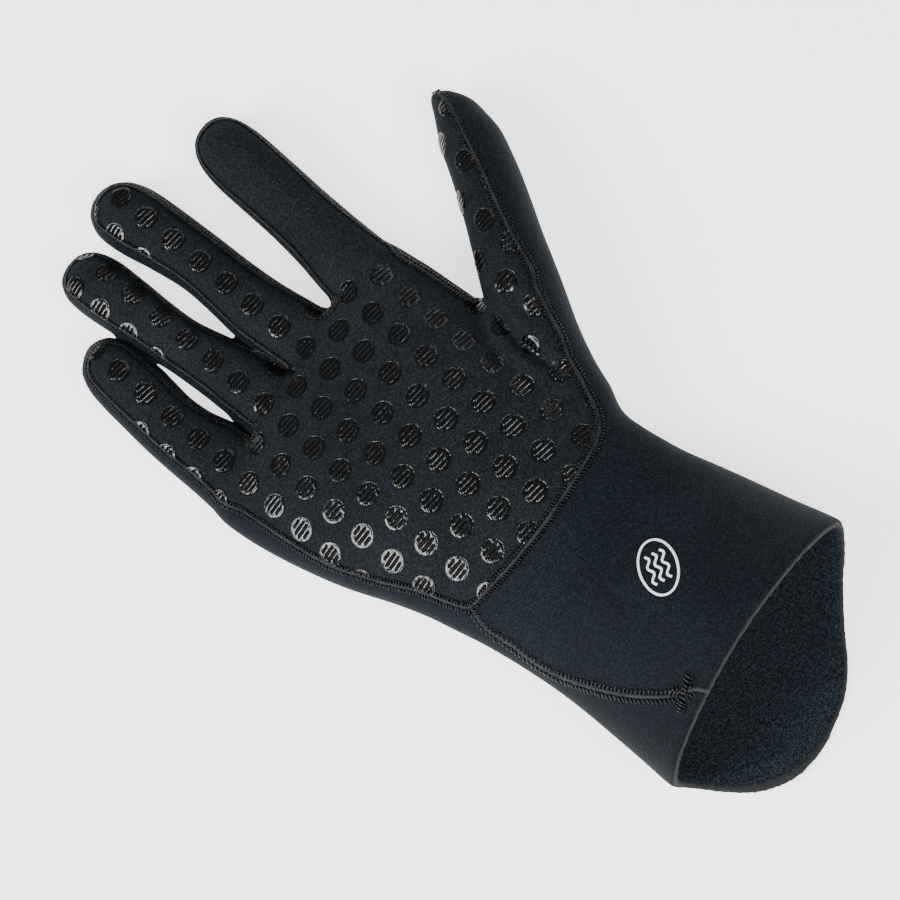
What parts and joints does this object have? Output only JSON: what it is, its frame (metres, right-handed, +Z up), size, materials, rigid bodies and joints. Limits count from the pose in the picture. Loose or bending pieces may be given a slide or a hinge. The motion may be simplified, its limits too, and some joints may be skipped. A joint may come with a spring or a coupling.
{
  "type": "diving glove",
  "caption": "Right-hand neoprene diving glove with a flared gauntlet cuff and a plush cuff lining, lying palm up.",
  "frame": {"origin": "under the middle of the glove's bounding box, on the floor that its back lies on", "axes": "+X towards the thumb side, +Y along the fingers, away from the cuff, +Z up out of the palm"},
  "size_m": [0.1636, 0.3154, 0.057],
  "materials": {
    "neoprene_front": "fine knit face on foam, charcoal blue, matt with a soft sheen",
    "neoprene_back": "fine knit face on foam, blue-black, matt",
    "plush_lining": "short plush pile, near-black navy",
    "grip_print": "thick printed silicone pads, glossy black",
    "seam_thread": "black sewing thread with a gloss",
    "seam_ridge": "worn grey fabric edge standing between the stitches",
    "cut_foam": "cut foam edge of the rim, grey",
    "white_print": "thin printed outline on the cuff, white"
  },
  "bodies": {
    "root": {"palm_panel": "neoprene_front", "back_panel": "neoprene_back", "cuff_lining": "plush_lining"}
  },
  "joints": []
}
